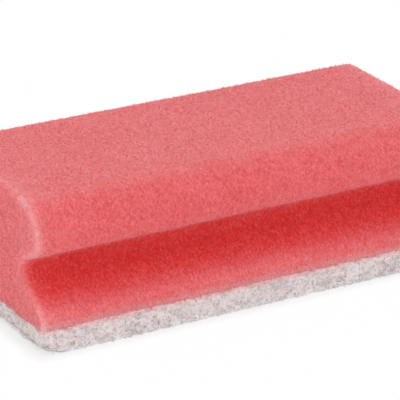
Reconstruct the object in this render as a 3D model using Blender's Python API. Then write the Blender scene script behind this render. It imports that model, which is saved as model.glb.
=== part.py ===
"""Scouring sponge with a grip: a contour-cut foam block bonded to a non-woven scouring pad.

Metres, +Z up. The origin is at the centre of the pad's underside. X runs along the length, and the
two finger grooves run along X, one in the front face (-Y) and one in the back face (+Y).
"""

import math

import bmesh
import bpy
from mathutils import Vector

# Overall sizes of the two pieces, and the bond between them
LENGTH = 0.140
WIDTH = 0.070
FOAM_HEIGHT = 0.0355
PAD_THICKNESS = 0.0077
GLUE_LINE = 0.0003

# Corners of the foam's end section before they are rounded, from the foot up.
# An inset is measured from the pad's side, and a height from the foam's foot
LIP_HEIGHT = 0.0035
GROOVE_INSET = 0.0148
GROOVE_HEIGHT = 0.0151
NOSE_INSET = 0.0024
NOSE_HEIGHT = 0.0211

# Radii of those corners
LIP_ROUND = 0.0018
GROOVE_ROUND = 0.0036
NOSE_ROUND = 0.0050
TOP_ROUND = 0.0100

# Soft lower edge of the pad
PAD_EDGE_ROUND = 0.0015

# Fineness of the round stretches, and the bend above which an edge is shaded sharp
ARC_STEP = math.radians(7.5)
PAD_EDGE_STEPS = 3
SHARP_BEND = math.radians(32)

FOAM_RED = (0.735, 0.125, 0.135, 1.0)
FOAM_ROUGHNESS = 0.95
PAD_GREY = (0.640, 0.585, 0.580, 1.0)
PAD_ROUGHNESS = 0.90


def clear_scene():
    for old in list(bpy.data.objects):
        bpy.data.objects.remove(old)


def matte(name, colour, roughness):
    """A plain non-metal finish."""
    finish = bpy.data.materials.new(name)
    finish.use_nodes = True
    shader = finish.node_tree.nodes["Principled BSDF"]
    shader.inputs["Base Color"].default_value = colour
    shader.inputs["Roughness"].default_value = roughness
    shader.inputs["Metallic"].default_value = 0.0
    return finish


def add_piece(name, shape, finish):
    """Turns a bmesh into a named object whose round stretches are shaded smooth."""
    bmesh.ops.recalc_face_normals(shape, faces=shape.faces)
    mesh = bpy.data.meshes.new(name)
    shape.to_mesh(mesh)
    shape.free()
    mesh.shade_smooth()
    mesh.set_sharp_from_angle(angle=SHARP_BEND)
    mesh.materials.append(finish)
    piece = bpy.data.objects.new(name, mesh)
    bpy.context.scene.collection.objects.link(piece)
    return piece


def half_openings(corners):
    """Half of the angle between the two edges at each inner corner."""
    openings = []
    for (before, _), (corner, _), (after, _) in zip(corners, corners[1:], corners[2:]):
        openings.append((before - corner).angle(after - corner) / 2)
    return openings


def tangent_lengths(corners, openings):
    """How far each corner's round reaches along its edges, limited to the room that they have."""
    rounds = [radius for _, radius in corners[1:-1]]
    reaches = [radius / math.tan(half) for radius, half in zip(rounds, openings)]
    reaches = [0.0, *reaches, 0.0]
    for i, ((start, _), (end, _)) in enumerate(zip(corners, corners[1:])):
        wanted = reaches[i] + reaches[i + 1]
        share = min(1.0, (end - start).length / wanted) if wanted else 1.0
        reaches[i] *= share
        reaches[i + 1] *= share
    return reaches


def corner_arc(before, corner, after, reach, half):
    """Points of the arc that touches both edges at this reach from their corner."""
    to_before = (before - corner).normalized()
    to_after = (after - corner).normalized()
    radius = reach * math.tan(half)
    centre = corner + (to_before + to_after).normalized() * (radius / math.sin(half))
    first = corner + to_before * reach - centre
    last = corner + to_after * reach - centre
    turn = math.pi - 2 * half
    steps = max(2, math.ceil(turn / ARC_STEP))
    points = []
    for step in range(steps + 1):
        angle = turn * step / steps
        spoke = first * math.sin(turn - angle) + last * math.sin(angle)
        points.append(centre + spoke / math.sin(turn))
    return points


def rounded_line(corners):
    """Points along a line of (place, radius) corners. Its two ends stay sharp."""
    openings = half_openings(corners)
    reaches = tangent_lengths(corners, openings)
    places = [place for place, _ in corners]
    points = [places[0]]
    for i, half in enumerate(openings, start=1):
        points += corner_arc(places[i - 1], places[i], places[i + 1], reaches[i], half)
    points.append(places[-1])
    return points


def foam_side():
    """The back side of the foam's end section, from its foot up to the middle of the top, as (y, z)."""
    side = WIDTH / 2
    nose = side - NOSE_INSET
    return rounded_line([
        (Vector((side, 0.0)), 0.0),
        (Vector((side, LIP_HEIGHT)), LIP_ROUND),
        (Vector((side - GROOVE_INSET, GROOVE_HEIGHT)), GROOVE_ROUND),
        (Vector((nose, NOSE_HEIGHT)), NOSE_ROUND),
        (Vector((nose, FOAM_HEIGHT)), TOP_ROUND),
        (Vector((0.0, FOAM_HEIGHT)), 0.0),
    ])[:-1]


def add_foam_grip(finish):
    """The foam block, cut to one section all along, with a finger groove down each long side."""
    back = foam_side()
    front = [Vector((-point.x, point.y)) for point in reversed(back)]
    foot = PAD_THICKNESS + GLUE_LINE
    shape = bmesh.new()
    outline = [shape.verts.new((-LENGTH / 2, y, z + foot)) for y, z in [*back, *front]]
    end = shape.faces.new(outline)
    swept = bmesh.ops.extrude_face_region(shape, geom=[end], use_keep_orig=True)
    far_end = [item for item in swept["geom"] if isinstance(item, bmesh.types.BMVert)]
    bmesh.ops.translate(shape, verts=far_end, vec=(LENGTH, 0, 0))
    return add_piece("foam_grip", shape, finish)


def add_scouring_pad(finish):
    """The scouring slab under the foam, flush with the foam's foot and rounded along its lower edge."""
    shape = bmesh.new()
    bmesh.ops.create_cube(shape, size=1.0)
    bmesh.ops.scale(shape, vec=(LENGTH, WIDTH, PAD_THICKNESS), verts=shape.verts)
    bmesh.ops.translate(shape, vec=(0, 0, PAD_THICKNESS / 2), verts=shape.verts)
    middle = PAD_THICKNESS / 2
    lower_edge = [edge for edge in shape.edges if all(vert.co.z < middle for vert in edge.verts)]
    bmesh.ops.bevel(
        shape,
        geom=lower_edge,
        offset=PAD_EDGE_ROUND,
        segments=PAD_EDGE_STEPS,
        profile=0.5,
        affect="EDGES",
    )
    return add_piece("scouring_pad", shape, finish)


def main():
    clear_scene()
    add_foam_grip(matte("foam", FOAM_RED, FOAM_ROUGHNESS))
    add_scouring_pad(matte("scouring_fibre", PAD_GREY, PAD_ROUGHNESS))


if __name__ == "__main__":
    main()
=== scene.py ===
"""Finish of the scouring sponge: open-cell foam, a non-woven scouring pad and a plain pale stage.

Everything is in metres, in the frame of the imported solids, and stands on the floor at z = 0.
"""

import math
from itertools import combinations

import bpy
import numpy as np
from bpy.props import FloatProperty, FloatVectorProperty, IntProperty, PointerProperty
from bpy.types import Operator, Panel, PropertyGroup, Scene
from mathutils import Matrix, Vector, noise


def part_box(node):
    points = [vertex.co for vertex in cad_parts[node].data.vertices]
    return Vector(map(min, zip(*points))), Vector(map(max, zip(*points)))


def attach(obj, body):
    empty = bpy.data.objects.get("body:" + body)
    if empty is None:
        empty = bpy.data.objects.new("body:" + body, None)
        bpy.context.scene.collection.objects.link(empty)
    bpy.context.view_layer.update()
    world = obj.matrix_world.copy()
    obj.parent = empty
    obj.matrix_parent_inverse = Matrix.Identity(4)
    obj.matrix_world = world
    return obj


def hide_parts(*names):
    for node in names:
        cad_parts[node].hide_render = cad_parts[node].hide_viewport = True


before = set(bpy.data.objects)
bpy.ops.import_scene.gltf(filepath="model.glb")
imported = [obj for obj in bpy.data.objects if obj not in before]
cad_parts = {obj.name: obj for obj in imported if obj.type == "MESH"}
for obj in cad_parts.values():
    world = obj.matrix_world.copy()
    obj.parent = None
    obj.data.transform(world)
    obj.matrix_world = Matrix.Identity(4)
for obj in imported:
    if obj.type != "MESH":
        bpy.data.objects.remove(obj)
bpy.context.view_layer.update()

bl_info = {
    "name": "Scouring Sponge",
    "version": (1, 0, 0),
    "blender": (4, 5, 0),
    "location": "3D View > Sidebar > Sponge",
    "description": "Builds a grip sponge of open-cell foam on a non-woven scouring pad",
    "category": "Add Mesh",
}

BODY = "root"
FOAM_NODE = "foam_grip"
PAD_NODE = "scouring_pad"

FOAM_LOW, FOAM_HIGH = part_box(FOAM_NODE)
PAD_LOW, PAD_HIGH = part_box(PAD_NODE)
MILLIMETRE = 0.001
WHITE = (1.0, 1.0, 1.0, 1.0)

# Foam and web reach past each other at the bond, and each is drawn in where the other covers it
FOAM_FOOT = PAD_HIGH.z - 1.2 * MILLIMETRE
WEB_TOP = PAD_HIGH.z + 0.3 * MILLIMETRE
TUCK = 0.3 * MILLIMETRE

# The bend above which an edge is shaded sharp, and the distance at which two places are one
SHARP_BEND = math.radians(65)
SAME_PLACE = 1e-6

# Fineness of the foam's skin: steps round its end edges, and how much wider its faces are across
EDGE_STEPS = 4
ACROSS_FACETS = 1.25

# Where the lip and the nose stand out, as shares of the foam's height
LIP_HEIGHTS = (0.0, 0.4)
NOSE_HEIGHTS = (0.5, 0.6)

# Shares of painted light on the foam: a line and a wide fade along the bond, painted against
# the shade there, the same along the edge of each cut end for the glow through its thin edge,
# and a little painted sheen over the end itself and over the top
BOND_LINE = 0.38
BOND_FADE = 0.10
BOND_REACH = 4.8 * MILLIMETRE
EDGE_LINE = 0.34
EDGE_FADE = 0.34
END_PAINTED_SHEEN = 0.06
TOP_PAINTED_SHEEN = 0.11

# How the painted groove shade grows with depth, how it gives way again under the nose, how
# much of the painted edge light it takes away, and how the light that comes in at the ends
# weakens it
GROOVE_GROWTH = 3.2 * MILLIMETRE
GROOVE_POWER = 1.8
ROOF_HEIGHTS = (0.78, 0.90)
ROOF_SHARE = 0.6
EDGE_LOSS = 0.45
END_LIGHT = 0.75
END_LIGHT_REACH = 2.0 * MILLIMETRE

# Height over which the foam's cut ends lean out from the bond to their full length
LEAN_HEIGHT = 12 * MILLIMETRE

# What is left of the light in the darkest foam cells
CELL_SHADE = 0.87

# Depths of the fine bump under the meshes
FOAM_BUMP = 0.15 * MILLIMETRE
WEB_BUMP = 0.25 * MILLIMETRE
GRAIN_BUMP = 0.03 * MILLIMETRE

# How much the patterns of foam cells and pad strands are squeezed or drawn out along each axis
CELL_SQUEEZE = (1.2, 0.65, 0.7)
STRAND_SQUEEZE = (0.45, 0.45, 1.6)

# How much painted light whitens the pad's foot against its shade, for its web and for its fibres,
# and how high that goes
WEB_FOOT_PAINTED_LIGHT = 0.55
WEB_FOOT_TOP = 1.8 * MILLIMETRE
FIBRE_FOOT_PAINTED_LIGHT = 0.6
FIBRE_FOOT_TOP = 1.2 * MILLIMETRE

# How the wear of the pad's ends fades with height, and how far its web stays off the floor
WEAR_POWER = 0.7
WEB_CLEARANCE = 0.05 * MILLIMETRE

# How much of the floor shows as plain white beside the pad, how much more further out, and the
# distances from the pad between which that grows; the less white near the pad is painted shade
# on top of the floor's real shadow
FLOOR_NEAR = 0.58
FLOOR_GAIN = 0.40
FLOOR_FADE = (0.8 * MILLIMETRE, 5.0 * MILLIMETRE)
FLOOR_REACH = 4.0

LAMP_SIZE = 0.8
OVERHEAD_PLACE = (-0.10, -0.10, 0.9)
FRONT_PLACE = (-0.62, -0.85, 0.32)
CAMERA_NEAR = 0.05


# Settings

COLOUR = {"size": 3, "min": 0.0, "max": 1.0, "subtype": "COLOR"}


class FoamSettings(PropertyGroup):
    """The foam's cells, cut edges and colours."""

    facet: FloatProperty(
        name="Facet",
        description="Side of one face of the foam's skin",
        default=0.00056,
        min=0.0003,
        unit="LENGTH",
    )
    cell: FloatProperty(
        name="Cell",
        description="Width of one cell of the foam",
        default=0.00050,
        min=0.0002,
        unit="LENGTH",
    )
    relief: FloatProperty(
        name="Relief",
        description="Height of the cut cells over the foam's faces",
        default=0.00015,
        min=0.0,
        unit="LENGTH",
    )
    struts: IntProperty(
        name="Struts",
        description="Cut struts of cells that stand up all over the foam",
        default=48000,
        min=0,
    )
    strut_height: FloatProperty(
        name="Strut height",
        description="Mean height of a cut strut",
        default=0.00036,
        min=0.00005,
        unit="LENGTH",
    )
    waviness: FloatProperty(
        name="Waviness",
        description="How far the long cuts wander from a straight line",
        default=0.00018,
        min=0.0,
        unit="LENGTH",
    )
    edge_round: FloatProperty(
        name="End edge round",
        description="Radius of the soft edge round each end",
        default=0.0015,
        min=0.0001,
        unit="LENGTH",
    )
    end_swell: FloatProperty(
        name="End swell",
        description="How far the upper foam springs out past the pad at each end",
        default=0.0006,
        min=0.0,
        unit="LENGTH",
    )
    # Also sets the width of the painted light along the bond and cut edges and of the painted sheen on
    # top
    rim_width: FloatProperty(
        name="Rim width",
        description="Width of the pale line of crushed cells along the cut edges",
        default=0.0013,
        min=0.0001,
        unit="LENGTH",
    )
    fade_width: FloatProperty(
        name="Fade width",
        description="Width over which the foam beside a cut edge fades to its full red",
        default=0.0032,
        min=0.0002,
        unit="LENGTH",
    )
    glow_depth: FloatProperty(
        name="Glow depth",
        description="How far red light spreads inside the foam",
        default=0.005,
        min=0.0,
        unit="LENGTH",
    )
    web_colour: FloatVectorProperty(
        name="Cell webs",
        description="Colour of the webs between cells",
        default=(0.98, 0.28, 0.295),
        **COLOUR,
    )
    pore_colour: FloatVectorProperty(
        name="Open pores",
        description="Colour inside the open cells",
        default=(0.775, 0.052, 0.06),
        **COLOUR,
    )
    # Painted shade: this dye darkens the foam deep in the finger grooves, where little light reaches
    groove_shade_colour: FloatVectorProperty(
        name="Groove tint",
        description="What is left of each colour of light deep in the finger grooves",
        default=(0.96, 0.30, 0.28),
        **COLOUR,
    )
    # Painted light: the pale colour along the bond, the cut edges, the cut ends and the top
    painted_light_colour: FloatVectorProperty(
        name="Rim",
        description="Colour of the crushed cells along the cut edges",
        default=(1.0, 0.50, 0.51),
        **COLOUR,
    )


class PadSettings(PropertyGroup):
    """The scouring pad's web, fibres, grains and colours."""

    facet: FloatProperty(
        name="Facet",
        description="Side of one face of the web's skin",
        default=0.0006,
        min=0.0003,
        unit="LENGTH",
    )
    edge_round: FloatProperty(
        name="Edge round",
        description="Radius of the pad's edges along its two long sides",
        default=0.0002,
        min=0.0001,
        unit="LENGTH",
    )
    end_round: FloatProperty(
        name="End round",
        description="Radius of the pad's worn lower edges and corners at its two ends",
        default=0.0046,
        min=0.0002,
        unit="LENGTH",
    )
    end_reach: FloatProperty(
        name="End reach",
        description="How far from each end the edges start to be rounder",
        default=0.0080,
        min=0.0005,
        unit="LENGTH",
    )
    relief: FloatProperty(
        name="Relief",
        description="How far the web's skin stands in and out",
        default=0.00035,
        min=0.0,
        unit="LENGTH",
    )
    edge_fibres: IntProperty(
        name="Edge fibres",
        description="Fibres around the pad's four sides",
        default=4200,
        min=0,
    )
    fringe_fibres: IntProperty(
        name="Fringe fibres",
        description="Short fine fibre ends that stick out around the pad's foot",
        default=3000,
        min=0,
    )
    sole_fibres: IntProperty(
        name="Sole fibres",
        description="Fibres over the pad's underside",
        default=4000,
        min=0,
    )
    fibre_radius: FloatProperty(
        name="Fibre radius",
        description="Mean radius of one fibre",
        default=0.00008,
        min=0.00001,
        unit="LENGTH",
    )
    fibre_length: FloatProperty(
        name="Fibre length",
        description="Mean length of the visible stretch of one fibre",
        default=0.0026,
        min=0.0005,
        unit="LENGTH",
    )
    grains: IntProperty(
        name="Grains",
        description="Abrasive grains over the sides and underside",
        default=5200,
        min=0,
    )
    grain_size: FloatProperty(
        name="Grain size",
        description="Mean radius of one abrasive grain",
        default=0.00016,
        min=0.00002,
        unit="LENGTH",
    )
    seed: IntProperty(
        name="Seed",
        description="Start of the random draws for fibres and grains",
        default=7,
        min=0,
    )
    web_colour: FloatVectorProperty(
        name="Web",
        description="Colour of the bonded web behind the fibres",
        default=(0.84, 0.745, 0.745),
        **COLOUR,
    )
    fibre_colour: FloatVectorProperty(
        name="Fibres",
        description="Colour of clean fibres",
        default=(0.90, 0.845, 0.84),
        **COLOUR,
    )
    grain_colour: FloatVectorProperty(
        name="Grains",
        description="Colour of the abrasive grains",
        default=(0.42, 0.34, 0.32),
        **COLOUR,
    )
    rust_colour: FloatVectorProperty(
        name="Brown grains",
        description="Colour of the browner clusters of grains",
        default=(0.42, 0.30, 0.20),
        **COLOUR,
    )
    # Partly a real stain, partly painted pink light bounced from the foam
    stain_and_bounce_colour: FloatVectorProperty(
        name="Bond stain",
        description="Colour of the pad's topmost fibres, where the foam melted into them",
        default=(0.98, 0.47, 0.47),
        **COLOUR,
    )


class StageSettings(PropertyGroup):
    """The camera, the light and the floor."""

    azimuth: FloatProperty(
        name="Azimuth",
        description="Turn of the camera from straight in front towards the left end",
        default=math.radians(31.287),
        subtype="ANGLE",
    )
    elevation: FloatProperty(
        name="Elevation",
        description="Angle of the camera above the horizon",
        default=math.radians(22.588),
        subtype="ANGLE",
    )
    roll: FloatProperty(
        name="Roll",
        description="Tilt of the camera about its own line of sight",
        default=math.radians(1.043),
        subtype="ANGLE",
    )
    distance: FloatProperty(
        name="Distance",
        description="Distance from the camera to the point that it looks at",
        default=0.8541,
        min=0.1,
        unit="LENGTH",
    )
    target: FloatVectorProperty(
        name="Target",
        description="Point that the camera looks at",
        default=(0.0, -0.0019, 0.0211),
        size=3,
        subtype="TRANSLATION",
    )
    lens: FloatProperty(
        name="Lens",
        description="Focal length in millimetres on a 36 mm wide sensor",
        default=260.84,
        min=10.0,
    )
    sky: FloatProperty(
        name="Sky",
        description="Strength of the even light from all round",
        default=0.79,
        min=0.0,
    )
    overhead: FloatProperty(
        name="Overhead lamp",
        description="Power of the large lamp above the sponge, in watts",
        default=1.25,
        min=0.0,
    )
    front: FloatProperty(
        name="Front lamp",
        description="Power of the large lamp in front of the sponge, in watts",
        default=2.3,
        min=0.0,
    )
    floor_colour: FloatVectorProperty(
        name="Floor",
        description="Colour of the floor",
        default=(0.95, 0.95, 0.95),
        **COLOUR,
    )


# Shader graphs

class Wire:
    """One output socket of a shader graph. Arithmetic on it adds Math nodes."""

    def __init__(self, graph, socket):
        self.graph = graph
        self.socket = socket

    def __add__(self, other):
        return self.graph.math("ADD", self, other)

    def __radd__(self, other):
        return self.graph.math("ADD", other, self)

    def __sub__(self, other):
        return self.graph.math("SUBTRACT", self, other)

    def __rsub__(self, other):
        return self.graph.math("SUBTRACT", other, self)

    def __mul__(self, other):
        return self.graph.math("MULTIPLY", self, other)

    def __rmul__(self, other):
        return self.graph.math("MULTIPLY", other, self)


class Graph:
    """The node tree of one material or world."""

    def __init__(self, tree):
        self.tree = tree

    def node(self, kind, settings=None, sockets=None, output=0):
        """Adds a node, with its settings first and then the value or link of each socket."""
        made = self.tree.nodes.new(kind)
        for name, value in (settings or {}).items():
            setattr(made, name, value)
        for name, value in (sockets or {}).items():
            self.feed(made.inputs[name], value)
        return Wire(self, made.outputs[output])

    def feed(self, socket, value):
        if isinstance(value, Wire):
            self.tree.links.new(value.socket, socket)
        else:
            socket.default_value = value

    def math(self, operation, *values):
        return self.node("ShaderNodeMath", {"operation": operation}, dict(enumerate(values)))

    def mix(self, share, first, second, blend="MIX"):
        """A colour between two others, or their blend of another kind."""
        settings = {"data_type": "RGBA", "blend_type": blend}
        return self.node("ShaderNodeMix", settings, {0: share, 6: first, 7: second}, output=2)

    def dyed(self, share, colour, dye):
        """The colour times this share of a dye."""
        return self.mix(share, colour, dye, "MULTIPLY")

    def smooth(self, value, low, high):
        """0 below low, 1 above high and an easy slope between them."""
        return self.node(
            "ShaderNodeMapRange",
            {"interpolation_type": "SMOOTHSTEP"},
            {"Value": value, "From Min": low, "From Max": high},
        )

    def place(self):
        """The point on the surface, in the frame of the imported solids."""
        return self.node("ShaderNodeTexCoord", output="Object")

    def axis(self, place, name):
        return self.node("ShaderNodeSeparateXYZ", sockets={0: place}, output=name)

    def vector(self, operation, *values, output=0):
        settings = {"operation": operation}
        return self.node("ShaderNodeVectorMath", settings, dict(enumerate(values)), output=output)

    def past(self, place, corner):
        """How far a place lies beyond this corner along each axis, on either side of the middle."""
        return self.vector("SUBTRACT", self.vector("ABSOLUTE", place), corner)

    def clouds(self, place, size, detail=2.0, roughness=0.5):
        """Soft noise whose patches are about this size."""
        return self.node(
            "ShaderNodeTexNoise",
            sockets={"Vector": place, "Scale": 1 / size, "Detail": detail, "Roughness": roughness},
            output="Fac",
        )

    def cells(self, place, size, output="Distance"):
        """A pattern of cells of about this size."""
        sockets = {"Vector": place, "Scale": 1 / size}
        return self.node("ShaderNodeTexVoronoi", sockets=sockets, output=output)

    def attribute(self, name):
        """A value that the mesh holds at its points."""
        return self.node("ShaderNodeAttribute", {"attribute_name": name}, output="Fac")

    def bump(self, height, distance):
        sockets = {"Height": height, "Distance": distance, "Strength": 1.0}
        return self.node("ShaderNodeBump", sockets=sockets)

    def channel(self, colour, name="Red"):
        return self.node("ShaderNodeSeparateColor", sockets={"Color": colour}, output=name)


def new_material(name, **uniform):
    """A material, its graph and its shader, with the sockets that are the same all over set."""
    material = bpy.data.materials.new(name)
    material.use_nodes = True
    shader = material.node_tree.nodes["Principled BSDF"]
    for socket, value in uniform.items():
        shader.inputs[socket.replace("_", " ")].default_value = value
    return material, Graph(material.node_tree), shader


def opaque(colour):
    return (*colour, 1.0)


def between(share, first, second):
    """One opaque colour between two others."""
    return opaque((1.0 - share) * a + share * b for a, b in zip(first, second))


# Materials

FOAM_GLOSS = {
    "Metallic": 0.0,
    "Specular_IOR_Level": 0.2,
    "Sheen_Weight": 0.22,
    "Sheen_Roughness": 0.3,
    "Sheen_Tint": (1.0, 0.93, 0.93, 1.0),
}


def foam_colour(graph, foam, place, lift=0.0):
    """Paler webs among deeper red pores, painted shade in the grooves, painted light at edges and top.
    """
    tall = graph.vector("MULTIPLY", place, CELL_SQUEEZE)
    walls = graph.cells(tall, foam.cell, output="Color")
    large = graph.channel(walls)
    small = graph.channel(graph.cells(tall, 0.55 * foam.cell, output="Color"), "Green")
    patches = graph.clouds(place, 14 * MILLIMETRE)
    openness = 0.44 * large + 0.33 * small + 0.20 * patches + lift
    colour = graph.mix(openness, opaque(foam.pore_colour), opaque(foam.web_colour))
    # Painted light along the bond, the cut edges, the cut ends and the top
    painted_light = graph.attribute("painted_light") * (0.75 + 0.35 * large)
    colour = graph.mix(painted_light, colour, opaque(foam.painted_light_colour))
    # Painted shade deep in the finger grooves
    depth = graph.attribute("groove_shade") * (1.15 - 0.40 * large) * (1.0 - 0.25 * painted_light)
    colour = graph.dyed(depth, colour, opaque(foam.groove_shade_colour))
    shaded = graph.channel(walls, "Blue")
    return graph.dyed(shaded, colour, (CELL_SHADE, CELL_SHADE, CELL_SHADE, 1.0))


def foam_material(foam):
    """Matte open-cell foam that lets light glow through its thin edges."""
    material, graph, shader = new_material(
        "open_cell_foam",
        Subsurface_Weight=0.65,
        Subsurface_Radius=(1.0, 0.20, 0.20),
        Subsurface_Scale=foam.glow_depth,
        **FOAM_GLOSS,
    )
    place = graph.place()
    pores = graph.smooth(graph.cells(place, foam.cell), 0.15, 0.62)
    grit = graph.clouds(place, 0.5 * foam.cell, roughness=0.7)
    graph.feed(shader.inputs["Base Color"], foam_colour(graph, foam, place))
    graph.feed(shader.inputs["Roughness"], 0.98 - 0.18 * pores)
    graph.feed(shader.inputs["Normal"], graph.bump(0.7 * pores + 0.6 * grit, FOAM_BUMP))
    return material


def strut_material(foam):
    """The same foam where it is cut to single struts, too thin to glow."""
    material, graph, shader = new_material("foam_struts", **FOAM_GLOSS)
    place = graph.place()
    lift = 0.8 * graph.attribute("shade") - 0.15
    graph.feed(shader.inputs["Base Color"], foam_colour(graph, foam, place, lift))
    graph.feed(shader.inputs["Roughness"], 0.8 + 0.2 * graph.clouds(place, foam.cell))
    return material


def stain_and_bounce(graph, pad, place, colour):
    """The pad's colour with a wavering pink along the bond: stain where the foam melted in, and painted
    bounced light.
    """
    waver = 2.6 * MILLIMETRE
    height = graph.axis(place, "Z") + waver * graph.clouds(place, 0.7 * MILLIMETRE) - 0.5 * waver
    share = graph.smooth(height, PAD_HIGH.z - 2.4 * MILLIMETRE, PAD_HIGH.z + 0.4 * MILLIMETRE)
    # Partly a real stain, partly painted pink light bounced from the foam
    return graph.mix(0.75 * share, colour, opaque(pad.stain_and_bounce_colour))


def foot_share(graph, place, top):
    """1 round the very foot of the pad's four sides, and 0 from this height up and over the sole."""
    skin = 0.9 * MILLIMETRE
    past = graph.past(place, (PAD_HIGH.x - skin, PAD_HIGH.y - skin, 0.0))
    furthest = graph.math("MAXIMUM", graph.axis(past, "X"), graph.axis(past, "Y"))
    outer = graph.smooth(furthest, 0.0, 0.5 * MILLIMETRE)
    return outer * (1.0 - graph.smooth(graph.axis(place, "Z"), 0.2 * MILLIMETRE, top))


def web_material(pad):
    """The bonded web between the fibres: streaky, with dark gaps that thicken towards the sole."""
    material, graph, shader = new_material("bonded_web", Metallic=0.0, Specular_IOR_Level=0.2)
    place = graph.place()
    strands = graph.vector("MULTIPLY", place, STRAND_SQUEEZE)
    streaks = graph.clouds(strands, 0.5 * MILLIMETRE, detail=3.0, roughness=0.6)
    gaps = graph.smooth(graph.clouds(place, 0.9 * MILLIMETRE, detail=3.0, roughness=0.65), 0.52, 0.68)
    low_down = 1.0 - graph.smooth(graph.axis(place, "Z"), 1.2 * MILLIMETRE, 4.6 * MILLIMETRE)
    pale = graph.smooth(streaks, 0.35, 0.65)
    colour = graph.mix(pale, opaque(pad.web_colour), opaque(pad.fibre_colour))
    colour = graph.mix(gaps * (0.25 + 0.50 * low_down), colour, opaque(pad.grain_colour))
    # Painted light that whitens the web's foot against its shade
    colour = graph.mix(WEB_FOOT_PAINTED_LIGHT * foot_share(graph, place, WEB_FOOT_TOP), colour, WHITE)
    graph.feed(shader.inputs["Base Color"], stain_and_bounce(graph, pad, place, colour))
    graph.feed(shader.inputs["Roughness"], 0.80 + 0.18 * streaks)
    graph.feed(shader.inputs["Normal"], graph.bump(streaks - 0.5 * gaps, WEB_BUMP))
    return material


def fibre_material(pad):
    """Crimped off-white fibre with a faint gloss, each strand a little lighter or greyer."""
    material, graph, shader = new_material("scouring_strands", Metallic=0.0, Specular_IOR_Level=0.4)
    place = graph.place()
    tint = graph.attribute("tint")
    dust = graph.clouds(place, 0.8 * MILLIMETRE)
    dull = between(0.55, pad.web_colour, pad.grain_colour)
    shade = graph.smooth(0.5 * tint + 1.2 * dust, 0.5, 1.1)
    colour = graph.mix(shade, dull, opaque(pad.fibre_colour))
    # Painted light that whitens the fibres at the foot against their shade
    colour = graph.mix(FIBRE_FOOT_PAINTED_LIGHT * foot_share(graph, place, FIBRE_FOOT_TOP), colour, WHITE)
    graph.feed(shader.inputs["Base Color"], stain_and_bounce(graph, pad, place, colour))
    graph.feed(shader.inputs["Roughness"], 0.5 + 0.3 * dust)
    return material


def fringe_material(pad):
    """Loose fibre ends too fine to look solid, painted paler as light against the foot's shade."""
    material, graph, shader = new_material("loose_ends", Metallic=0.0, Specular_IOR_Level=0.2, Alpha=0.5)
    tint = graph.attribute("tint")
    # Paler towards white: painted light against the shade round the foot
    colour = graph.mix(tint, opaque(pad.fibre_colour), WHITE)
    graph.feed(shader.inputs["Base Color"], colour)
    graph.feed(shader.inputs["Roughness"], 0.6 + 0.3 * tint)
    return material


def grain_material(pad):
    """Dull grey-brown abrasive bonded to the fibres."""
    material, graph, shader = new_material("abrasive_grains", Metallic=0.0, Specular_IOR_Level=0.3)
    place = graph.place()
    tint = graph.attribute("tint")
    pits = graph.clouds(place, 0.12 * MILLIMETRE)
    rust = graph.smooth(graph.clouds(place, 3 * MILLIMETRE), 0.45, 0.65)
    grit = graph.mix(rust, opaque(pad.grain_colour), opaque(pad.rust_colour))
    colour = graph.mix(tint, grit, opaque(pad.web_colour))
    graph.feed(shader.inputs["Base Color"], colour)
    graph.feed(shader.inputs["Roughness"], 0.65 + 0.3 * pits)
    graph.feed(shader.inputs["Normal"], graph.bump(pits, GRAIN_BUMP))
    return material


def floor_material(stage):
    """Pale floor that shows almost white, still takes the sponge's soft shadow, and is painted darker
    close round the pad.
    """
    material, graph, shader = new_material("pale_floor", Roughness=1.0, Specular_IOR_Level=0.0)
    shader.inputs["Base Color"].default_value = opaque(stage.floor_colour)
    outside = graph.vector("MAXIMUM", graph.past(graph.place(), PAD_HIGH), (0.0, 0.0, 0.0))
    apart = graph.vector("LENGTH", outside, output="Value")
    # Painted shade: nearer the pad less of the floor shows as plain white, on top of its real shadow
    bright = seen_directly(graph) * (FLOOR_NEAR + FLOOR_GAIN * graph.smooth(apart, *FLOOR_FADE))
    glow = graph.node("ShaderNodeEmission", sockets={"Strength": 1.0})
    lit = Wire(graph, shader.outputs[0])
    shown = graph.node("ShaderNodeMixShader", sockets={0: bright, 1: lit, 2: glow})
    graph.feed(material.node_tree.nodes["Material Output"].inputs["Surface"], shown)
    return material


def seen_directly(graph):
    """1 for rays from the eye or off a gloss or glass, and 0 for rays that carry light."""
    sockets = [
        graph.node("ShaderNodeLightPath", output=name)
        for name in ("Is Camera Ray", "Is Glossy Ray", "Is Transmission Ray")
    ]
    return graph.math("MAXIMUM", graph.math("MAXIMUM", sockets[0], sockets[1]), sockets[2])


# Meshes

def new_piece(name, places, faces, material):
    mesh = bpy.data.meshes.new(name)
    mesh.from_pydata(places, [], faces)
    mesh.materials.append(material)
    mesh.shade_smooth()
    mesh.validate()
    piece = bpy.data.objects.new(name, mesh)
    bpy.context.scene.collection.objects.link(piece)
    return piece


def store(piece, name, values):
    """Keeps one number for each point of the mesh, for its material to read."""
    attribute = piece.data.attributes.new(name, "FLOAT", "POINT")
    attribute.data.foreach_set("value", np.asarray(values, np.float32))


def rows(items, name, width=3, kind=np.float32):
    """This property of each of a mesh's items, as one row of numbers for each."""
    values = np.empty(width * len(items), kind)
    items.foreach_get(name, values)
    return values.reshape(-1, width)


def copies(faces, corners, count):
    """The same faces again for each of count shapes that have this many corners."""
    numbers = np.asarray(faces)[None] + corners * np.arange(count)[:, None, None]
    return [tuple(face) for face in numbers.reshape(-1, numbers.shape[-1]).tolist()]


def move_points(piece, places):
    piece.data.vertices.foreach_set("co", np.asarray(places, np.float32).ravel())
    piece.data.update()


def noise_at(places, size, shift=0.0):
    """Smooth noise from about -1 to 1, whose lumps are about this size."""
    offset = Vector((shift, shift, shift))
    return np.array([noise.noise(Vector(place) / size + offset) for place in places])


def cells_at(places, size):
    """Distance to the nearest cell centre, in cells of this size."""
    return np.array([noise.voronoi(Vector(place) / size)[0][0] for place in places])


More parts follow.
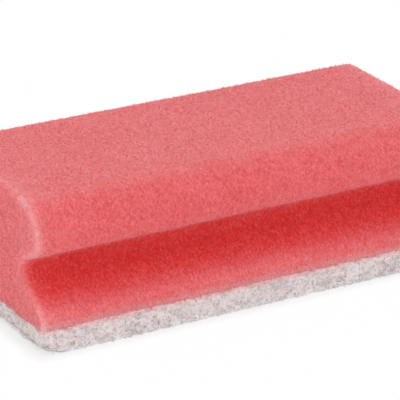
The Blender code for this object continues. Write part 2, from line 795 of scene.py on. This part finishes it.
def unit(vectors):
    return vectors / np.maximum(np.linalg.norm(vectors, axis=-1, keepdims=True), 1e-12)


def eased(share):
    """0 below 0, 1 above 1 and an easy slope between them."""
    share = np.clip(share, 0.0, 1.0)
    return share * share * (3.0 - 2.0 * share)


def standing(lean, outward, least):
    """The leaning ways as unit vectors, where one that hardly rises from the skin stands up straight."""
    rising = (lean * outward).sum(axis=1, keepdims=True) > least
    return unit(np.where(rising, lean, outward))


# Foam

def foam_side():
    """The back side of the solid's end section as (y, z) rows, from its foot to its flat top."""
    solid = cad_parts[FOAM_NODE].data
    corners = {
        (round(vertex.co.y, 6), round(vertex.co.z, 6))
        for vertex in solid.vertices
        if vertex.co.y > 0 and vertex.co.x - FOAM_LOW.x < SAME_PLACE
    }
    side = np.array(sorted(corners, key=lambda corner: corner[1]))
    side[0, 1] = FOAM_FOOT
    return side


def evenly(line, count):
    """count + 1 places at equal steps along a line of points."""
    steps = np.linalg.norm(np.diff(line, axis=0), axis=1)
    along = np.concatenate([[0.0], np.cumsum(steps)])
    wanted = np.linspace(0.0, along[-1], count + 1)
    return np.stack([np.interp(wanted, along, line[:, axis]) for axis in range(line.shape[1])], 1)


def softened(line, passes=2):
    """The line with its small facets smoothed away and its two ends kept."""
    for _ in range(passes):
        middle = 0.25 * line[:-2] + 0.5 * line[1:-1] + 0.25 * line[2:]
        line = np.vstack([line[:1], middle, line[-1:]])
    return line


def line_length(line):
    return np.linalg.norm(np.diff(line, axis=0), axis=1).sum()


class FoamSkin:
    """Points and faces of the foam: rings round the section all along, and a grid over each end."""

    def __init__(self, foam):
        side = foam_side()
        self.rows = round(line_length(side) / foam.facet)
        self.columns = round((FOAM_HIGH.y - FOAM_LOW.y) / (ACROSS_FACETS * foam.facet))
        self.side = softened(evenly(side, self.rows))
        self.edge_round = foam.edge_round
        self.foam = foam
        self.stations = self.lengthways(foam.facet)
        self.places = []
        self.faces = []

    def lengthways(self, facet):
        """Each ring's place along the length and how far it stands in, the round end edges included."""
        straight = FOAM_HIGH.x - self.edge_round
        count = round(2 * straight / facet)
        radius = self.edge_round
        turns = np.linspace(0.0, math.pi / 2, EDGE_STEPS + 1)[1:]
        ends = [(straight + radius * math.sin(turn), radius * (1 - math.cos(turn))) for turn in turns]
        middle = [(x, 0.0) for x in np.linspace(-straight, straight, count + 1)]
        left = [(-x, inset) for x, inset in reversed(ends)]
        return left + middle + ends

    def outline(self, inset):
        """The section standing in by this much: up the back, over the top and down the front."""
        ways = np.gradient(self.side, axis=0)
        outward = unit(np.stack([ways[:, 1], -ways[:, 0]], 1))
        outward[-1] = (0.0, 1.0)
        outward[0] = (1.0, 0.0)
        back = self.side - inset * outward
        top = np.linspace(back[-1], back[-1] * (-1, 1), self.columns + 1)[1:-1]
        front = back[::-1] * (-1, 1)
        return np.vstack([back, top, front])

    def add_ring(self, x, inset):
        outline = self.outline(inset)
        first = len(self.places)
        self.places += [(x, y, z) for y, z in outline]
        return np.arange(first, first + len(outline))

    def add_tube(self):
        rings = [self.add_ring(x, inset) for x, inset in self.stations]
        for ring, after in zip(rings, rings[1:]):
            self.faces += zip(ring[:-1], ring[1:], after[1:], after[:-1])
        return rings

    def add_end(self, ring, outward):
        """A grid between the ring's two sides. Returns its lowest row, from back to front."""
        count = self.rows + 1
        back = ring[:count]
        front = ring[::-1][:count]
        x = self.places[ring[0]][0]
        grid = []
        for low, high in zip(back[:-1], front[:-1]):
            inner = np.linspace(self.places[low][1:], self.places[high][1:], self.columns + 1)[1:-1]
            first = len(self.places)
            self.places += [(x, y, z) for y, z in inner]
            grid.append([low, *range(first, first + len(inner)), high])
        grid.append(list(ring[self.rows:self.rows + self.columns + 1]))
        for row, above in zip(grid, grid[1:]):
            quads = zip(above[:-1], above[1:], row[1:], row[:-1])
            self.faces += quads if outward > 0 else [quad[::-1] for quad in quads]
        return grid[0]

    def build(self):
        rings = self.add_tube()
        left_foot = self.add_end(rings[0], -1)
        right_foot = self.add_end(rings[-1], 1)
        back_foot = [ring[0] for ring in rings]
        front_foot = [ring[-1] for ring in rings]
        foot = [*back_foot[:-1], *right_foot[:-1], *reversed(front_foot[1:]), *reversed(left_foot[1:])]
        self.faces.append(foot)
        places = np.array(self.places)
        places[:, 0] *= half_length(places, self.foam) / FOAM_HIGH.x
        return places, [tuple(int(i) for i in face) for face in self.faces]


def half_length(places, foam):
    """How far out the cut end is at the height of each place. The bond holds its foot in."""
    return FOAM_HIGH.x + foam.end_swell * eased((places[:, 2] - FOAM_LOW.z) / LEAN_HEIGHT)


def distance_from_end(places, foam):
    return np.maximum(half_length(places, foam) - np.abs(places[:, 0]), 0.0)


def bell(distance, width):
    """1 where the distance is 0, and close to 0 from twice this width on."""
    return np.exp(-((distance / width) ** 2))


def painted_light_share_of(places, foam):
    """The share of painted light: most along the bond and each cut end's edge, painted sheen over the
    ends and top.
    """
    outline_steps = 200
    batch = 4000
    side = evenly(foam_side(), outline_steps)
    outline = np.vstack([side, side[::-1] * (-1, 1)])
    from_end = distance_from_end(places, foam)
    from_side = np.zeros(len(places))
    inner = np.nonzero(from_end < MILLIMETRE)[0]
    for some in np.array_split(inner, 1 + len(inner) // batch):
        gaps = places[some, None, 1:] - outline[None]
        from_side[some] = np.linalg.norm(gaps, axis=2).min(axis=1)
    apart = np.hypot(from_end, from_side)
    foot = np.maximum(places[:, 2] - FOAM_LOW.z, 0.0) + 2 * from_side * (from_end < SAME_PLACE)
    exposed = 1.0 - EDGE_LOSS * sunk_share(places)
    # Painted light along the bond, against the shade at the foam's foot
    share = BOND_LINE * bell(foot, foam.rim_width) + BOND_FADE * bell(foot, BOND_REACH)
    # Painted light along the edge of each cut end, for the glow through its thin edge
    share += EDGE_LINE * exposed * bell(apart, foam.rim_width)
    share += EDGE_FADE * exposed * np.exp(-apart / foam.fade_width)
    # Painted sheen over the cut end and over the top
    share += END_PAINTED_SHEEN * bell(from_end, foam.rim_width)
    share += TOP_PAINTED_SHEEN * bell(FOAM_HIGH.z - places[:, 2], foam.rim_width)
    return np.minimum(share, 1.0)


def sunk_share(places):
    """0 outside the finger grooves and towards 1 at this height and depth deep in them."""
    lip, nose = outermost(*LIP_HEIGHTS), outermost(*NOSE_HEIGHTS)
    depth, height = np.abs(places[:, 1]), places[:, 2]
    bridge = np.interp(height, [lip[1], nose[1]], [lip[0], nose[0]])
    sunk = np.where((height > lip[1]) & (height < nose[1]), np.maximum(bridge - depth, 0.0), 0.0)
    roof = np.interp(height, np.array(ROOF_HEIGHTS) * nose[1], [1.0, ROOF_SHARE])
    return roof * (1.0 - np.exp(-((sunk / GROOVE_GROWTH) ** GROOVE_POWER)))


def groove_shade_share_of(places, foam):
    """The share of painted groove shade along the foam's long sides, and none on its two cut ends."""
    from_end = distance_from_end(places, foam)
    shut_in = 1.0 - END_LIGHT * np.exp(-from_end / END_LIGHT_REACH)
    return (from_end > 2 * SAME_PLACE) * shut_in * sunk_share(places)


def outermost(low, high):
    """The section's outermost place between these two shares of the foam's height."""
    side = foam_side()
    share = (side[:, 1] - FOAM_LOW.z) / (FOAM_HIGH.z - FOAM_LOW.z)
    within = side[(share >= low) & (share <= high)]
    return within[np.argmax(within[:, 0])]


def spots_on(piece, count, random):
    """Even random places on the piece's skin, leaving out its foot, with the skin's outward ways."""
    mesh = piece.data
    mesh.calc_loop_triangles()
    foot = len(mesh.polygons) - 1
    above_foot = rows(mesh.loop_triangles, "polygon_index", 1, int)[:, 0] < foot
    corners = rows(mesh.loop_triangles, "vertices", 3, int)[above_foot]
    triangles = rows(mesh.vertices, "co").astype(float)[corners]
    across = np.cross(triangles[:, 1] - triangles[:, 0], triangles[:, 2] - triangles[:, 0])
    area = np.linalg.norm(across, axis=1)
    picked = random.choice(len(area), count, p=area / area.sum())
    shares = random.dirichlet((1.0, 1.0, 1.0), count)
    return (triangles[picked] * shares[..., None]).sum(axis=1), unit(across[picked])


def add_struts(foam, block):
    """Small leaning spikes all over the foam, where its open cells were cut through."""
    random = np.random.default_rng(foam.struts)
    places, outward = spots_on(block, foam.struts, random)
    spread, least = 0.45, 0.3
    along = standing(outward + random.normal(0.0, spread, places.shape), outward, least)
    height = foam.strut_height * np.clip(random.exponential(1.0, (foam.struts, 1)), 0.5, 2.0)
    thick = foam.strut_height * random.uniform(0.35, 0.55, (foam.struts, 1))
    across = unit(np.cross(along, random.normal(0.0, 1.0, places.shape)))
    third = np.cross(along, across)
    root = places - along * thick
    corners = [places + along * height]
    for turn in (0.0, 2 * math.pi / 3, 4 * math.pi / 3):
        corners.append(root + thick * (math.cos(turn) * across + math.sin(turn) * third))
    points = np.stack(corners, 1).reshape(-1, 3)
    faces = copies([(0, 1, 2), (0, 2, 3), (0, 3, 1), (3, 2, 1)], len(corners), foam.struts)
    piece = new_piece("foam_struts", points, faces, strut_material(foam))
    piece.data.shade_flat()
    # Painted light and painted groove shade, as on the foam's skin
    store(piece, "painted_light", np.repeat(painted_light_share_of(places, foam), len(corners)))
    store(piece, "groove_shade", np.repeat(groove_shade_share_of(places, foam), len(corners)))
    store(piece, "shade", np.repeat(random.uniform(0.0, 1.0, foam.struts), len(corners)))
    return piece


def add_foam(foam):
    """The foam's closed skin, pitted like cut cells, with long cuts that wander a little."""
    places, faces = FoamSkin(foam).build()
    piece = new_piece("foam_block", places, faces, foam_material(foam))
    outward = rows(piece.data.vertex_normals, "vector").astype(float)
    mean_depth = 0.45
    pits = mean_depth - cells_at(places, 1.9 * foam.cell)
    fine = noise_at(places, 1.2 * foam.cell)
    wander = noise_at(places * (0.35, 1.0, 1.0), 11 * MILLIMETRE, shift=5.0)
    lift = foam.relief * (0.9 * fine + 0.8 * pits) + foam.waviness * wander
    lift -= TUCK * np.interp(places[:, 2], [FOAM_FOOT, PAD_HIGH.z], [1.0, 0.0])
    move_points(piece, places + outward * lift[:, None])
    piece.data.set_sharp_from_angle(angle=SHARP_BEND)
    # Painted light and painted groove shade at each point of the skin
    store(piece, "painted_light", painted_light_share_of(places, foam))
    store(piece, "groove_shade", groove_shade_share_of(places, foam))
    return piece


# Scouring pad

def round_box(places, pad):
    """Moves points of the pad's sharp box onto its rounded one. Returns them with their outward ways.

    The radius grows towards the two ends and the floor, where the pad is worn.
    """
    near_end = eased(1.0 - (PAD_HIGH.x - np.abs(places[:, :1])) / pad.end_reach)
    low_down = np.clip(1.0 - places[:, 2:] / PAD_HIGH.z, 0.0, 1.0)
    worn = near_end * low_down ** WEAR_POWER
    radius = pad.edge_round + (pad.end_round - pad.edge_round) * worn
    low = np.array(PAD_LOW) + radius
    high = np.array((PAD_HIGH.x, PAD_HIGH.y, FOAM_LOW.z)) + radius * (-1.0, -1.0, 1.0)
    core = np.clip(places, low, high)
    outward = unit(places - core)
    return core + radius * outward, outward


def box_grid(counts):
    """Grids over the four sides and the underside of a box, and one face over its top.

    Points are whole steps along each axis, and a point on an edge is shared by the grids beside it.
    """
    across, deep, tall = counts
    numbers = {}
    faces = []

    def number(*step):
        return numbers.setdefault(step, len(numbers))

    def grid(width, height, at, flip):
        for i in range(width):
            for j in range(height):
                quad = [number(*at(i + a, j + b)) for a, b in ((0, 0), (1, 0), (1, 1), (0, 1))]
                faces.append(quad[::-1] if flip else quad)

    grid(across, tall, lambda i, j: (i, 0, j), False)
    grid(across, tall, lambda i, j: (i, deep, j), True)
    grid(deep, tall, lambda i, j: (0, i, j), True)
    grid(deep, tall, lambda i, j: (across, i, j), False)
    grid(across, deep, lambda i, j: (i, j, 0), True)
    border = [(i, 0) for i in range(across)]
    border += [(across, j) for j in range(deep)]
    border += [(i, deep) for i in range(across, 0, -1)]
    border += [(0, j) for j in range(deep, 0, -1)]
    faces.append([number(i, j, tall) for i, j in border])
    return np.array(list(numbers)), faces


def add_web(pad):
    """The bonded body of the pad, lumpy on its sides and sole, and plain under the foam."""
    low, high = np.array(PAD_LOW), np.array((PAD_HIGH.x, PAD_HIGH.y, WEB_TOP))
    counts = np.round((high - low) / pad.facet).astype(int)
    steps, faces = box_grid(tuple(int(count) for count in counts))
    places, outward = round_box(low + steps / counts * (high - low), pad)
    flat = places * (0.6, 0.6, 1.3)
    lumps = 0.35 * noise_at(flat, 1.5 * MILLIMETRE) + 0.6 * noise_at(places, 0.8 * MILLIMETRE, shift=3.0)
    lift = pad.relief * (lumps - 0.25) * np.interp(places[:, 2], [0.0, 0.8 * MILLIMETRE], [0.3, 1.0])
    lift -= TUCK * np.interp(places[:, 2], [PAD_HIGH.z - 0.3 * MILLIMETRE, WEB_TOP], [0.0, 1.0])
    places += outward * lift[:, None]
    places[:, 2] = np.maximum(places[:, 2], WEB_CLEARANCE)
    piece = new_piece("pad_web", places, faces, web_material(pad))
    piece.data.set_sharp_from_angle(angle=SHARP_BEND)
    return piece


def tubes(lines, radii, sides=3):
    """Points and faces of a closed tube along each line. lines is (tubes, points, 3)."""
    count, points, _ = lines.shape
    along = unit(np.gradient(lines, axis=1))
    aslant = (0.31, 0.52, 0.79)
    across = unit(np.cross(along, aslant))
    third = np.cross(along, across)
    turn = 2 * math.pi * np.arange(sides) / sides
    spokes = (
        np.cos(turn)[None, None, :, None] * across[:, :, None]
        + np.sin(turn)[None, None, :, None] * third[:, :, None]
    )
    places = lines[:, :, None] + spokes * radii[:, None, None, None]
    number = np.arange(count * points * sides).reshape(count, points, sides)
    after = np.roll(number, -1, axis=2)
    walls = np.stack([number[:, :-1], after[:, :-1], after[:, 1:], number[:, 1:]], -1)
    faces = [tuple(face) for face in walls.reshape(-1, 4).tolist()]
    faces += [tuple(face) for face in number[:, 0, ::-1].tolist()]
    faces += [tuple(face) for face in number[:, -1].tolist()]
    return places.reshape(-1, 3), faces


def new_strands(name, lines, radii, tints, material):
    """A piece of one tube along each line, none of it below the floor, with one tint for each tube."""
    lines[..., 2] = np.maximum(lines[..., 2], radii[:, None])
    places, faces = tubes(lines, radii)
    piece = new_piece(name, places, faces, material)
    store(piece, "tint", np.repeat(tints, len(places) // len(lines)))
    return piece


def crimped(random, count, points, length, spread):
    """Flat wandering lines of about this length, heading within this spread of the first axis."""
    crimp = 0.5
    heading = random.normal(0.0, spread, (count, 1))
    heading = heading + random.normal(0.0, crimp, (count, points)).cumsum(1)
    step = length * random.uniform(0.5, 1.5, (count, 1)) / points
    line = np.stack([step * np.cos(heading), step * np.sin(heading)], -1).cumsum(1)
    return line - line.mean(axis=1, keepdims=True)


def distance_round():
    """Length of the way round the pad's four sides."""
    return 2 * (PAD_HIGH.x - PAD_LOW.x + PAD_HIGH.y - PAD_LOW.y)


def on_side(along, height):
    """A place on the pad's sharp sides, given the way round them and the height."""
    width, depth = PAD_HIGH.x - PAD_LOW.x, PAD_HIGH.y - PAD_LOW.y
    along = along % distance_round()
    x = PAD_LOW.x + np.clip(along, 0, width) - np.clip(along - width - depth, 0, width)
    y = PAD_LOW.y + np.clip(along - width, 0, depth) - np.clip(along - 2 * width - depth, 0, depth)
    return np.stack([x, y, height], -1)


def add_edge_fibres(pad, material):
    """Crimped strands round the four sides, sunk in the web and standing a little proud of it."""
    random = np.random.default_rng(pad.seed)
    count, points = pad.edge_fibres, 6
    lines = crimped(random, count, points, pad.fibre_length, spread=0.8)
    start = random.uniform(0, distance_round(), (count, 1))
    height = PAD_LOW.z + (PAD_HIGH.z - PAD_LOW.z) * random.beta(0.8, 0.8, (count, 1))
    rise = np.clip(height + lines[..., 1], PAD_LOW.z, PAD_HIGH.z + 0.5 * MILLIMETRE)
    sharp = on_side(start + lines[..., 0], rise).reshape(-1, 3)
    places, outward = round_box(sharp, pad)
    bob = random.normal(0.0, 0.13 * MILLIMETRE, (count, points)).cumsum(1)
    splay = random.exponential(0.22 * MILLIMETRE, (count, 1)) * (1.0 + np.exp(-rise / MILLIMETRE))
    sunk = 0.3 * MILLIMETRE
    lift = np.clip(bob + splay - sunk, -0.5 * MILLIMETRE, 0.8 * MILLIMETRE)
    lines = (places + outward * lift.reshape(-1, 1)).reshape(count, points, 3)
    radii = pad.fibre_radius * random.uniform(0.6, 1.4, count)
    tints = random.uniform(0, 1, count) ** 0.6
    return new_strands("pad_edge_fibres", lines, radii, tints, material)


def add_fringe(pad):
    """Short loose ends round the pad's foot."""
    random = np.random.default_rng(pad.seed + 3)
    count, points = pad.fringe_fibres, 3
    top, sunk = 1.6 * MILLIMETRE, 0.3 * MILLIMETRE
    height = top * random.beta(0.8, 1.6, count)
    root, outward = round_box(on_side(random.uniform(0, distance_round(), count), height), pad)
    spread, least, droop = 0.7, 0.2, (0.0, 0.0, 0.2)
    lean = standing(outward + random.normal(0.0, spread, root.shape) - droop, outward, least)
    length = random.exponential(0.6 * MILLIMETRE, (count, 1))
    length = np.clip(length, 0.3 * MILLIMETRE, 1.2 * MILLIMETRE)
    steps = np.linspace(0.0, 1.0, points)[None, :, None]
    bend = random.normal(0.0, 0.12 * MILLIMETRE, (count, points, 3)).cumsum(1)
    lines = (root - sunk * outward)[:, None] + steps * (length * lean)[:, None] + bend
    radii = pad.fibre_radius * random.uniform(0.45, 0.75, count)
    tints = random.uniform(0, 1, count)
    return new_strands("pad_fringe", lines, radii, tints, fringe_material(pad))


def add_sole_fibres(pad, material):
    """Crimped strands crossing each other all over the underside."""
    random = np.random.default_rng(pad.seed + 1)
    count, points = pad.sole_fibres, 8
    lines = crimped(random, count, points, 1.5 * pad.fibre_length, spread=math.pi)
    margin = np.array((0.6 * pad.end_reach, 0.5 * pad.edge_round))
    low, high = np.array(PAD_LOW[:2]) + margin, np.array(PAD_HIGH[:2]) - margin
    middle = random.uniform(low, high, (count, 2))
    flat = np.clip(middle[:, None] + lines, low, high)
    radii = pad.fibre_radius * random.uniform(0.6, 1.4, count)
    bob = random.normal(0.0, 0.08 * MILLIMETRE, (count, points)).cumsum(1)
    bob += random.uniform(0, 0.2 * MILLIMETRE, (count, 1))
    height = PAD_LOW.z + radii[:, None] + np.clip(bob, 0, 0.4 * MILLIMETRE)
    lines = np.concatenate([flat, height[..., None]], -1)
    return new_strands("pad_sole_fibres", lines, radii, random.uniform(0, 1, count), material)


def crumb_shape():
    """Corners and faces of an icosahedron of radius 1."""
    golden = (1 + math.sqrt(5)) / 2
    corners = []
    for a in (-1, 1):
        for b in (-golden, golden):
            corners += [(0, a, b), (a, b, 0), (b, 0, a)]
    corners = unit(np.array(corners, float))
    side = np.linalg.norm(corners[:, None] - corners[None], axis=2)
    neighbours_apart = 1.06
    near = side < neighbours_apart
    faces = []
    for i, j, k in combinations(range(len(corners)), 3):
        if near[i, j] and near[j, k] and near[i, k]:
            facing = np.dot(np.cross(corners[j] - corners[i], corners[k] - corners[i]), corners[i])
            faces.append((i, j, k) if facing > 0 else (i, k, j))
    return corners, faces


def add_grains(pad):
    """Abrasive grains in clusters, thickest along the foot of the sides and over the sole."""
    random = np.random.default_rng(pad.seed + 2)
    tries_each = 5
    tries = tries_each * pad.grains
    side_share = 0.5
    height = PAD_LOW.z + (PAD_HIGH.z - PAD_LOW.z) * random.beta(1.5, 2.4, tries)
    sides = on_side(random.uniform(0, distance_round(), tries), height)
    low, high = np.array(PAD_LOW), np.array(PAD_HIGH)
    inside_edges = (0.985, 0.97, 1.0)
    sole = random.uniform(low, high, (tries, 3)) * inside_edges
    sole[:, 2] = PAD_LOW.z
    sharp = np.where(random.uniform(0, 1, (tries, 1)) < side_share, sides, sole)
    places, outward = round_box(sharp, pad)
    clustered = noise_at(places, 1.6 * MILLIMETRE, shift=9.0) + 0.25 * random.normal(0, 1, tries)
    kept = np.argsort(-clustered)[:pad.grains]
    places = places[kept] - outward[kept] * random.uniform(0.0, 0.25 * MILLIMETRE, (pad.grains, 1))
    size = pad.grain_size * random.uniform(0.4, 1.5, pad.grains)
    corners, faces = crumb_shape()
    stretch = random.uniform(0.6, 1.3, (pad.grains, len(corners), 1))
    crumbs = places[:, None] + corners[None] * stretch * size[:, None, None]
    crumbs[..., 2] = np.maximum(crumbs[..., 2], PAD_LOW.z)
    faces = copies(faces, len(corners), pad.grains)
    piece = new_piece("pad_grains", crumbs.reshape(-1, 3), faces, grain_material(pad))
    store(piece, "tint", np.repeat(random.uniform(0, 1, pad.grains) ** 2, len(corners)))
    return piece


# Stage

def add_camera(stage):
    """Looks at the sponge from in front and to the left of it, a little from above."""
    turn, tilt = stage.azimuth, stage.elevation
    ahead = Vector((math.sin(turn) * math.cos(tilt), math.cos(turn) * math.cos(tilt), -math.sin(tilt)))
    right = Vector((math.cos(turn), -math.sin(turn), 0.0))
    up = right.cross(ahead)
    axes = Matrix((right, up, -ahead)).transposed()
    camera = bpy.data.objects.new("camera", bpy.data.cameras.new("camera"))
    rotation = axes.to_4x4() @ Matrix.Rotation(stage.roll, 4, "Z")
    camera.matrix_world = Matrix.Translation(Vector(stage.target) - ahead * stage.distance) @ rotation
    camera.data.lens = stage.lens
    camera.data.clip_start = CAMERA_NEAR
    bpy.context.scene.collection.objects.link(camera)
    bpy.context.scene.camera = camera


def add_lamp(name, place, power):
    """A square soft lamp that faces the sponge."""
    lamp = bpy.data.lights.new(name, "AREA")
    lamp.size = LAMP_SIZE
    lamp.energy = power
    holder = bpy.data.objects.new(name, lamp)
    holder.location = place
    holder.rotation_euler = (-Vector(place)).to_track_quat("-Z", "Y").to_euler()
    bpy.context.scene.collection.objects.link(holder)


def add_floor(stage):
    corners = [(x * FLOOR_REACH, y * FLOOR_REACH, 0.0) for x, y in ((-1, -1), (1, -1), (1, 1), (-1, 1))]
    floor = new_piece("floor", corners, [(0, 1, 2, 3)], floor_material(stage))


def add_sky(stage):
    """Even light from all round that shows as plain white behind the sponge."""
    world = bpy.data.worlds.new("sky")
    bpy.context.scene.world = world
    world.use_nodes = True
    graph = Graph(world.node_tree)
    strength = stage.sky + (1.0 - stage.sky) * seen_directly(graph)
    background = world.node_tree.nodes["Background"]
    background.inputs["Color"].default_value = WHITE
    graph.feed(background.inputs["Strength"], strength)


# Operators

class SPONGE_OT_foam(Operator):
    """Build the foam block over its solid"""

    bl_idname = "sponge.foam"
    bl_label = "Foam Block"

    def execute(self, context):
        foam = context.scene.sponge_foam
        block = add_foam(foam)
        for piece in (block, add_struts(foam, block)):
            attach(piece, BODY)
        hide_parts(FOAM_NODE)
        return {"FINISHED"}


class SPONGE_OT_pad(Operator):
    """Build the scouring pad's web, fibres and grains over its solid"""

    bl_idname = "sponge.pad"
    bl_label = "Scouring Pad"

    def execute(self, context):
        pad = context.scene.sponge_pad
        web = add_web(pad)
        strands = fibre_material(pad)
        trims = [
            add_edge_fibres(pad, strands),
            add_fringe(pad),
            add_sole_fibres(pad, strands),
            add_grains(pad),
        ]
        for piece in [web, *trims]:
            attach(piece, BODY)
        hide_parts(PAD_NODE)
        return {"FINISHED"}


class SPONGE_OT_stage(Operator):
    """Set the camera, the floor and the light"""

    bl_idname = "sponge.stage"
    bl_label = "Stage"

    def execute(self, context):
        stage = context.scene.sponge_stage
        add_camera(stage)
        add_floor(stage)
        add_sky(stage)
        add_lamp("overhead", OVERHEAD_PLACE, stage.overhead)
        add_lamp("front", FRONT_PLACE, stage.front)
        context.scene.view_settings.view_transform = "Standard"
        return {"FINISHED"}


class SPONGE_PT_panel(Panel):
    """Lists the steps that build the sponge"""

    bl_idname = "SPONGE_PT_panel"
    bl_label = "Scouring Sponge"
    bl_space_type = "VIEW_3D"
    bl_region_type = "UI"
    bl_category = "Sponge"

    def draw(self, context):
        scene = context.scene
        groups = (
            (SPONGE_OT_foam, scene.sponge_foam),
            (SPONGE_OT_pad, scene.sponge_pad),
            (SPONGE_OT_stage, scene.sponge_stage),
        )
        for operator, settings in groups:
            box = self.layout.box()
            box.operator(operator.bl_idname)
            for name in settings.__annotations__:
                box.prop(settings, name)


CLASSES = (
    FoamSettings,
    PadSettings,
    StageSettings,
    SPONGE_OT_foam,
    SPONGE_OT_pad,
    SPONGE_OT_stage,
    SPONGE_PT_panel,
)


def register():
    for each in CLASSES:
        bpy.utils.register_class(each)
    Scene.sponge_foam = PointerProperty(type=FoamSettings)
    Scene.sponge_pad = PointerProperty(type=PadSettings)
    Scene.sponge_stage = PointerProperty(type=StageSettings)


def unregister():
    del Scene.sponge_stage
    del Scene.sponge_pad
    del Scene.sponge_foam
    for each in reversed(CLASSES):
        bpy.utils.unregister_class(each)


def main():
    register()
    bpy.ops.sponge.foam()
    bpy.ops.sponge.pad()
    bpy.ops.sponge.stage()


if __name__ == "__main__":
    main()
